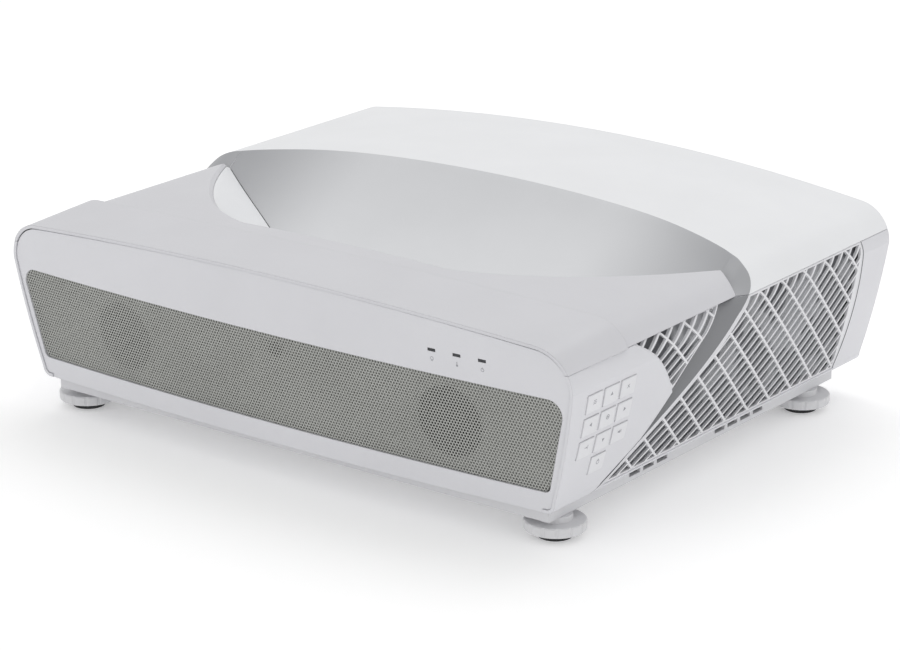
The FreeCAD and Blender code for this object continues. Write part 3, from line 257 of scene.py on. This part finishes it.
# The upper covers are the same moulding, the front cover darker and the rear cover and the well lighter; the
# step's wall carries painted shade in a darker grey.
bright_abs = finish("bright_semi_gloss_abs", "#F0F1F3", "#EDEEF0", 0.36, 1.4, 0.01, coat=0.12, edge_mm=0.7)
painted_shade_side = painted_shade_finish("satin_abs_painted_shade_wall", white_abs, "#8A8B8E", 0.40)
own = {"top_front_cover": finish("satin_moulded_front_cover", "#D6D6DA", "#D3D3D7", 0.4, 1.4, 0.01,
                                 coat=0.1, edge_mm=0.7),
       "light_well": finish("bright_moulded_well", "#F4F5F7", "#F1F2F4", 0.36, 1.4, 0.01, edge_mm=0.7),
       "top_rear_cover": painted_shade_finish("semi_gloss_abs_painted_shade_wall", bright_abs, "#A9AAAD", 0.36),
       "right_rear_side_panel": painted_shade_side, "left_rear_side_panel": painted_shade_side}
for name, material in own.items():
    dress(name, material)
# Sheet behind the louvres, grey in lighter and darker fields: the lighter fields stand for the parts behind,
# and the darker fields are painted shade where the inside lies open.
painted_shade_sheet = finish("sheet_with_painted_shade", "#A6A7AA", "#5E5F63", 0.9, 1.2, 0.1, cloud_mm=42.0)
painted_shade_sheet.node_tree.nodes["tone"].color_ramp.elements[0].position = 0.47
painted_shade_sheet.node_tree.nodes["tone"].color_ramp.elements[1].position = 0.53
# Pad-printed ink: a thin even film, duller than the plastic below.
ink = finish("grey_pad_print", "#9A9BA0", "#95969B", 0.6, 0.5, 0.002)


# ---- surfaces that pieces are laid on ------------------------------------------------
def on_front(u, v, w):
    """Point of the bowed, leaning front at x = u and z = v, w outwards (mm)."""
    radius = BOW_RADIUS + w
    bow = radius - math.sqrt(radius ** 2 - u ** 2)
    lean = math.tan(math.radians(FRONT_LEAN)) * (v - FRONT_TOP)
    return Vector((u, FRONT_Y - w / math.cos(math.radians(FRONT_LEAN)) + bow - lean, v)) * MM


def side_x(z, shape):
    """Half width of the side at height z."""
    lean, shoulder_z, centre, radius = shape
    if z > shoulder_z:
        return centre + math.sqrt(radius ** 2 - (z - shoulder_z) ** 2)
    t = (z - SIDE_LOW) / (shoulder_z - SIDE_LOW)
    return FOOT_HALF + lean * t + SIDE_BULGE * t * (1 - t)


def on_front_side(u, v, w):
    """Point of the right front side at y = u and z = v, w outwards (mm)."""
    return Vector((side_x(v, FRONT_SIDE) + w, u, v)) * MM


def between(table, key):
    """Straight interpolation in a table of pairs."""
    for (a, x), (b, y) in zip(table, table[1:]):
        if key <= b:
            return x + (y - x) * (key - a) / (b - a)
    return table[-1][1]


# ---- modelling helpers ---------------------------------------------------------------
def edit(*steps):
    """Runs mesh steps on the active piece with everything selected."""
    bpy.ops.object.mode_set(mode="EDIT")
    bpy.ops.mesh.select_all(action="SELECT")
    for step in steps:
        step()
    bpy.ops.object.mode_set(mode="OBJECT")


def extrude(height):
    """Pulls the selected faces out of the drawing plane."""
    bpy.ops.mesh.extrude_region_move(TRANSFORM_OT_translate={"value": (0, 0, height)})


def lay(piece, spot):
    """Moves each point from the drawing plane (mm) to its place on a surface."""
    for vertex in piece.data.vertices:
        vertex.co = spot(vertex.co.x, vertex.co.y, vertex.co.z)
    piece.data.update()


def activate(*pieces):
    """Selects these pieces alone and makes the first one active."""
    bpy.ops.object.select_all(action="DESELECT")
    for piece in pieces:
        piece.select_set(True)
    bpy.context.view_layer.objects.active = pieces[0]


def hold(piece, name, material, body, slot, *gone):
    """Names and finishes a piece, and ties it to its body."""
    piece.name = name
    piece.data.materials.clear()
    piece.data.materials.append(material)
    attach(piece, body)
    if gone:
        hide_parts(*gone)


def apply_modifier(piece, kind, **settings):
    """Adds a modifier with these settings and works it into the mesh."""
    activate(piece)
    modifier = piece.modifiers.new(kind.lower(), kind)
    for key, value in settings.items():
        setattr(modifier, key, value)
    bpy.ops.object.modifier_apply(modifier=modifier.name)


def drop_faces(piece, outside):
    """Deletes the faces whose middle is outside."""
    for polygon in piece.data.polygons:
        polygon.select = outside(polygon.center)
    for vertex in piece.data.vertices:
        vertex.select = False
    for edge in piece.data.edges:
        edge.select = False
    activate(piece)
    bpy.ops.object.mode_set(mode="EDIT")
    bpy.ops.mesh.select_mode(type="FACE")
    bpy.ops.mesh.delete(type="FACE")
    bpy.ops.object.mode_set(mode="OBJECT")


# ---- punched grille ------------------------------------------------------------------
def punched_grille():
    """Sheet with a hexagonal pattern of round-ish holes, cut to the opening of the front."""
    row = HOLE_PITCH * math.sqrt(3) / 2
    bpy.ops.object.select_all(action="DESELECT")
    bpy.ops.mesh.primitive_circle_add(vertices=6, radius=HOLE_PITCH / math.sqrt(3), fill_type="NGON")
    cell = bpy.context.active_object
    web = (HOLE_PITCH / math.sqrt(3) - HOLE_RADIUS) * math.sqrt(3) / 2
    edit(lambda: bpy.ops.mesh.inset(thickness=web),
         lambda: extrude(-GRILLE_THICKNESS),
         lambda: bpy.ops.mesh.delete(type="FACE"))
    columns = int(2 * GRILLE_TOP[0] / HOLE_PITCH) + 3
    rows = int((GRILLE_TOP[1] - GRILLE_LOW[1]) / row) + 4
    for count, offset in ((columns, (HOLE_PITCH, 0, 0)), (2, (HOLE_PITCH / 2, row, 0)),
                          (rows // 2, (0, 2 * row, 0))):
        apply_modifier(cell, "ARRAY", count=count, use_relative_offset=False, use_constant_offset=True,
                       constant_offset_displace=offset)
    start = Vector((-columns * HOLE_PITCH / 2, GRILLE_LOW[1] - row, 0))
    for vertex in cell.data.vertices:
        vertex.co += start
    activate(cell)
    lean = (GRILLE_TOP[0] - GRILLE_LOW[0]) / (GRILLE_TOP[1] - GRILLE_LOW[1])
    cuts = [((0, GRILLE_TOP[1], 0), (0, 1, 0)), ((0, GRILLE_LOW[1], 0), (0, -1, 0)),
            ((GRILLE_LOW[0], GRILLE_LOW[1], 0), (1, -lean, 0)),
            ((-GRILLE_LOW[0], GRILLE_LOW[1], 0), (-1, -lean, 0))]
    for point, normal in cuts:
        edit(lambda: bpy.ops.mesh.bisect(plane_co=point, plane_no=normal, clear_outer=True))
    edit(lambda: bpy.ops.mesh.remove_doubles(threshold=0.02))

    def past_corner(centre):
        x, z = abs(centre.x), centre.y
        for (cx, cz), radius, sign in ((GRILLE_TOP, GRILLE_CORNERS[0], -1),
                                       (GRILLE_LOW, GRILLE_CORNERS[1], 1)):
            dx = x - (cx - radius * LEANING_CORNER)
            dz = (z - (cz + sign * radius)) * -sign
            if dx > 0 and dz > 0 and math.hypot(dx, dz) > radius:
                return True
        return False

    drop_faces(cell, past_corner)
    lay(cell, lambda u, v, w: on_front(u, v, w - GRILLE_SETBACK))
    hold(cell, "punched_grille", finishes["mesh_steel"], "housing", "mesh_steel", "speaker_grille")


punched_grille()


# ---- sheet with painted shade behind the louvres -------------------------------------
def screen(name, shape, limits, outside, side):
    """Sheet a few millimetres behind the louvres, following the side, with painted shade in its darker
    fields.
    """
    y0, y1, z0, z1 = limits
    bpy.ops.object.select_all(action="DESELECT")
    bpy.ops.mesh.primitive_grid_add(x_subdivisions=110, y_subdivisions=40, size=1)
    backing_sheet = bpy.context.active_object
    for vertex in backing_sheet.data.vertices:
        vertex.co = Vector((y0 + (vertex.co.x + 0.5) * (y1 - y0), z0 + (vertex.co.y + 0.5) * (z1 - z0), 0))
    drop_faces(backing_sheet, lambda c: outside(c.x, c.y))
    lay(backing_sheet, lambda u, v, w: Vector((side * (side_x(v, shape) - SCREEN_DEPTH), u, v)) * MM)
    apply_modifier(backing_sheet, "SOLIDIFY", thickness=SCREEN_THICKNESS * MM, offset=0.0)
    activate(backing_sheet)
    edit(lambda: bpy.ops.mesh.normals_make_consistent(inside=False))
    hold(backing_sheet, name, painted_shade_sheet, "housing", "vent_plastic")


for side, word in ((1, "right"), (-1, "left")):
    screen(word + "_rear_screen", REAR_SIDE, REAR_SCREEN,
           lambda y, z: y < between(SWEEP, z) + REAR_SCREEN_EDGE, side)
    screen(word + "_front_screen", FRONT_SIDE, FRONT_SCREEN,
           lambda y, z: y > between(FRONT_SWEEP, z) - FRONT_SCREEN_EDGE, side)


# ---- keys and printed marks ----------------------------------------------------------
def stroke(x, y, width, height, turn=0.0):
    """Flat bar of a printed mark."""
    bpy.ops.mesh.primitive_plane_add(size=1, location=(x, y, 0), rotation=(0, 0, math.radians(turn)))
    bar = bpy.context.active_object
    bar.scale = (width, height, 1)
    activate(bar)
    bpy.ops.object.transform_apply(location=True, rotation=True, scale=True)
    return bar


def polygon(x, y, radius, corners=24, turn=0.0):
    """Flat disc or triangle of a printed mark."""
    bpy.ops.mesh.primitive_circle_add(vertices=corners, radius=radius, fill_type="NGON", location=(x, y, 0),
                                      rotation=(0, 0, math.radians(turn)))
    made = bpy.context.active_object
    activate(made)
    bpy.ops.object.transform_apply(location=True, rotation=True, scale=True)
    return made


def ring(x, y, radius, line):
    """Flat ring of a printed mark."""
    made = polygon(x, y, radius)
    edit(lambda: bpy.ops.mesh.inset(thickness=line), lambda: bpy.ops.mesh.delete(type="FACE"))
    return made


def arrow(turn):
    """Triangle that points along a key's direction."""
    return [lambda: polygon(0, 0, 1.7, 3, turn)]


MARKS = {
    "key_menu": [lambda: stroke(0, 1.2, 3.4, 0.45), lambda: stroke(0, 0, 3.4, 0.45),
                 lambda: stroke(0, -1.2, 3.4, 0.45)],
    "key_up": arrow(0), "key_left": arrow(90), "key_down": arrow(180), "key_right": arrow(-90),
    "key_exit": [lambda: stroke(0, 0, 3.6, 0.45, 45), lambda: stroke(0, 0, 3.6, 0.45, -45)],
    "key_enter": [lambda: ring(0, 0, 1.8, 0.4), lambda: polygon(0, 0, 0.7)],
    "key_source": [lambda: stroke(1.6, 0, 0.45, 3.2), lambda: stroke(-0.6, 0, 2.4, 0.45),
                   lambda: polygon(0.4, 0, 0.9, 3, -90)],
    "key_volume": [lambda: polygon(-0.3, 0, 1.5, 3, 90), lambda: stroke(-1.6, 0, 1.1, 1.2),
                   lambda: stroke(1.5, 0, 0.4, 2.2)],
    "key_power": [lambda: ring(0, 0, 1.7, 0.4), lambda: stroke(0, 1.5, 0.45, 2.0)],
}


def printed(name, strokes, spot, body):
    """Mark of raised ink, laid on a surface."""
    drawn = [draw() for draw in strokes]
    activate(*drawn)
    if len(drawn) > 1:
        bpy.ops.object.join()
    mark = bpy.context.active_object
    edit(lambda: extrude(INK_HEIGHT),
         lambda: bpy.ops.mesh.select_all(action="SELECT"),
         lambda: bpy.ops.mesh.normals_make_consistent(inside=False))
    lay(mark, spot)
    hold(mark, name, ink, body, "key_plastic")


def softened(node, width_mm, body, slot):
    """Copy of a moulded piece with rounded edges."""
    piece = nodes[node].copy()
    piece.data = nodes[node].data.copy()
    bpy.context.collection.objects.link(piece)
    activate(piece)
    edit(lambda: bpy.ops.mesh.remove_doubles(threshold=0.01 * MM),
         lambda: bpy.ops.mesh.dissolve_limited(angle_limit=math.radians(1.5)))
    apply_modifier(piece, "BEVEL", width=width_mm * MM, segments=3, limit_method="ANGLE",
                   angle_limit=math.radians(40))
    activate(piece)
    bpy.ops.object.shade_smooth_by_angle(angle=math.radians(35))
    hold(piece, node + "_rounded", finishes[slot], body, slot, node)


key_grid = {"key_menu": (0, 0), "key_up": (0, 1), "key_exit": (0, 2),
            "key_left": (1, 0), "key_enter": (1, 1), "key_right": (1, 2),
            "key_source": (2, 0), "key_down": (2, 1), "key_volume": (2, 2),
            "key_power": (3, 1)}
for name, (row, column) in key_grid.items():
    centre_y = KEY_FIRST[0] + column * KEY_PITCH[0]
    centre_z = KEY_FIRST[1] - row * KEY_PITCH[1]
    softened(name, KEY_ROUNDING, name, "key_plastic")
    printed(name + "_mark", MARKS[name],
            lambda u, v, w: on_front_side(centre_y + u, centre_z + v, KEY_PROUD + w - INK_SUNK), name)

indicator_marks = [("lamp_mark", [lambda: ring(0, 0.4, 1.3, 0.3), lambda: stroke(0, -1.4, 1.2, 0.35)]),
                   ("heat_mark", [lambda: stroke(0, 0.7, 0.5, 2.2), lambda: polygon(0, -0.9, 0.8)]),
                   ("power_mark", [lambda: ring(0, 0, 1.3, 0.3), lambda: stroke(0, 1.2, 0.35, 1.5)])]
for k, (name, strokes) in enumerate(indicator_marks):
    centre = INDICATOR_X + (k - 1) * INDICATOR_PITCH
    printed(name, strokes,
            lambda u, v, w: on_front(centre + u, INDICATOR_Z - INDICATOR_MARK_DROP + v, w - BEZEL_REVEAL),
            "housing")

# ---- feet ----------------------------------------------------------------------------
for corner in ("front_left", "front_right", "rear_left", "rear_right"):
    softened("foot_" + corner, FOOT_ROUNDING, "foot_" + corner, "foot_plastic")

# ---- floor --------------------------------------------------------------------------
bpy.ops.object.select_all(action="DESELECT")
bpy.ops.mesh.primitive_plane_add(size=12, location=(0, 0, 0))
floor = bpy.context.active_object
floor.name = "floor"
paper = bpy.data.materials.new("studio_paper")
paper.use_nodes = True
paper_inputs = paper.node_tree.nodes["Principled BSDF"].inputs
paper_inputs["Base Color"].default_value = linear("#FBFBFB")
paper_inputs["Roughness"].default_value = 0.9
paper_inputs["Emission Color"].default_value = linear("#FFFFFF")
paper_inputs["Emission Strength"].default_value = 0.2
floor.data.materials.append(paper)
